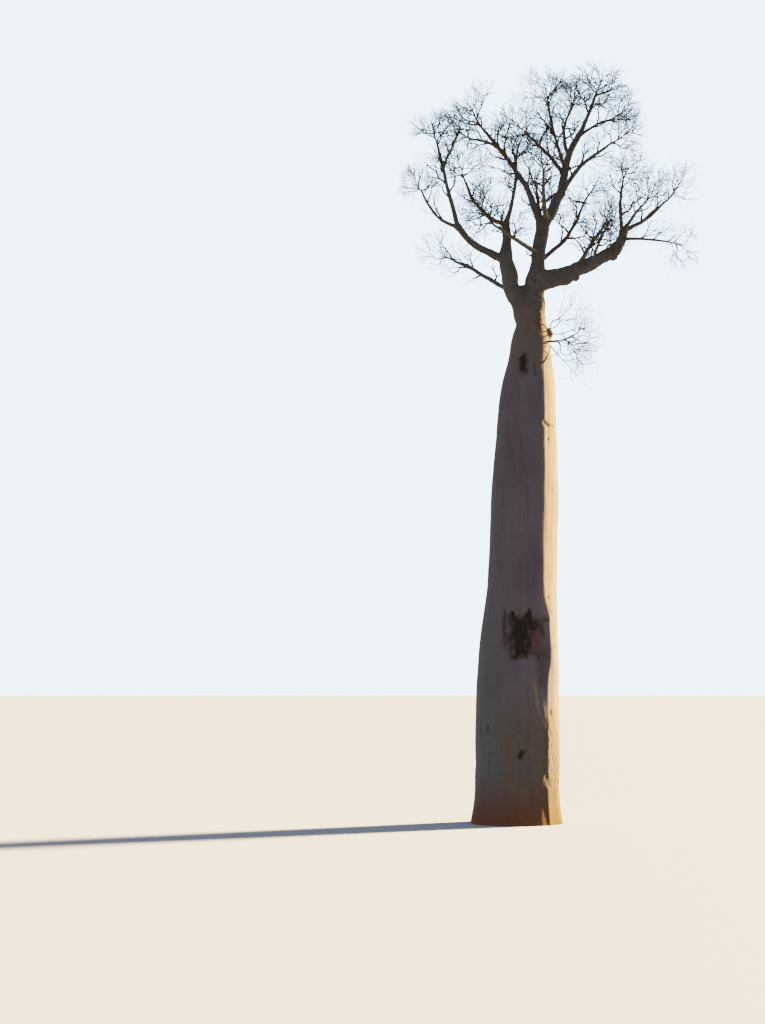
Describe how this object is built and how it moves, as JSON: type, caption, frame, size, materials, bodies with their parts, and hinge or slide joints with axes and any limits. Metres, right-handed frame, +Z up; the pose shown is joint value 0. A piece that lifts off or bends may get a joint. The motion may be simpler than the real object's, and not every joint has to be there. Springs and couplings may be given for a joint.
{
  "type": "baobab tree",
  "caption": "Tall leafless baobab with a smooth barrel trunk, a high fork, spreading boughs and a compact rounded crown of bare twigs.",
  "frame": {"origin": "middle of the flat cut under the trunk at ground level", "axes": "+Z up the trunk, +X to the crown's long side, where the low heavy bough reaches out, +Y to the crown's back"},
  "size_m": [7.9489, 6.6205, 20.048],
  "materials": {
    "trunk_bark": "matt smooth grey-mauve bark with folds, pits and an old brown wound",
    "bough_bark": "matt darker grey-brown bark",
    "twigs": "matt grey-brown twigs"
  },
  "bodies": {
    "root": {"back_bough": "bough_bark", "back_left_bough": "bough_bark", "back_left_twigs": "twigs", "back_twigs": "twigs", "front_bough": "bough_bark", "front_twigs": "twigs", "inner_high_bough": "bough_bark", "inner_high_twigs": "twigs", "leader": "bough_bark", "left_back_bough": "bough_bark", "left_back_twigs": "twigs", "left_bough": "bough_bark", "left_fork_bough": "bough_bark", "left_fork_twigs": "twigs", "left_front_bough": "bough_bark", "left_front_twigs": "twigs", "left_high_bough": "bough_bark", "left_high_twigs": "twigs", "left_inner_bough": "bough_bark", "left_low_bough": "bough_bark", "left_low_twigs": "twigs", "left_outer_bough": "bough_bark", "low_front_bough": "bough_bark", "low_front_twigs": "twigs", "low_left_bough": "bough_bark", "low_left_twigs": "twigs", "mid_left_bough": "bough_bark", "mid_left_twigs": "twigs", "right_back_bough": "bough_bark", "right_back_twigs": "twigs", "right_bend": "bough_bark", "right_bough": "bough_bark", "right_front_bough": "bough_bark", "right_front_twigs": "twigs", "right_high_bough": "bough_bark", "right_high_twigs": "twigs", "right_inner_bough": "bough_bark", "right_inner_twigs": "twigs", "right_low_bough": "bough_bark", "right_low_twigs": "twigs", "right_outer_bough": "bough_bark", "right_outer_twigs": "twigs", "right_spur": "bough_bark", "right_spur_twigs": "twigs", "right_upright_bough": "bough_bark", "right_upright_twigs": "twigs", "shoulder_twigs": "twigs", "summit_bough": "bough_bark", "summit_side_bough": "bough_bark", "summit_side_twigs": "twigs", "summit_twigs": "twigs", "top_back_bough": "bough_bark", "top_back_twigs": "twigs", "top_bough": "bough_bark", "top_left_bough": "bough_bark", "top_left_twigs": "twigs", "trunk": "trunk_bark", "upper_leader": "bough_bark"}
  },
  "joints": []
}
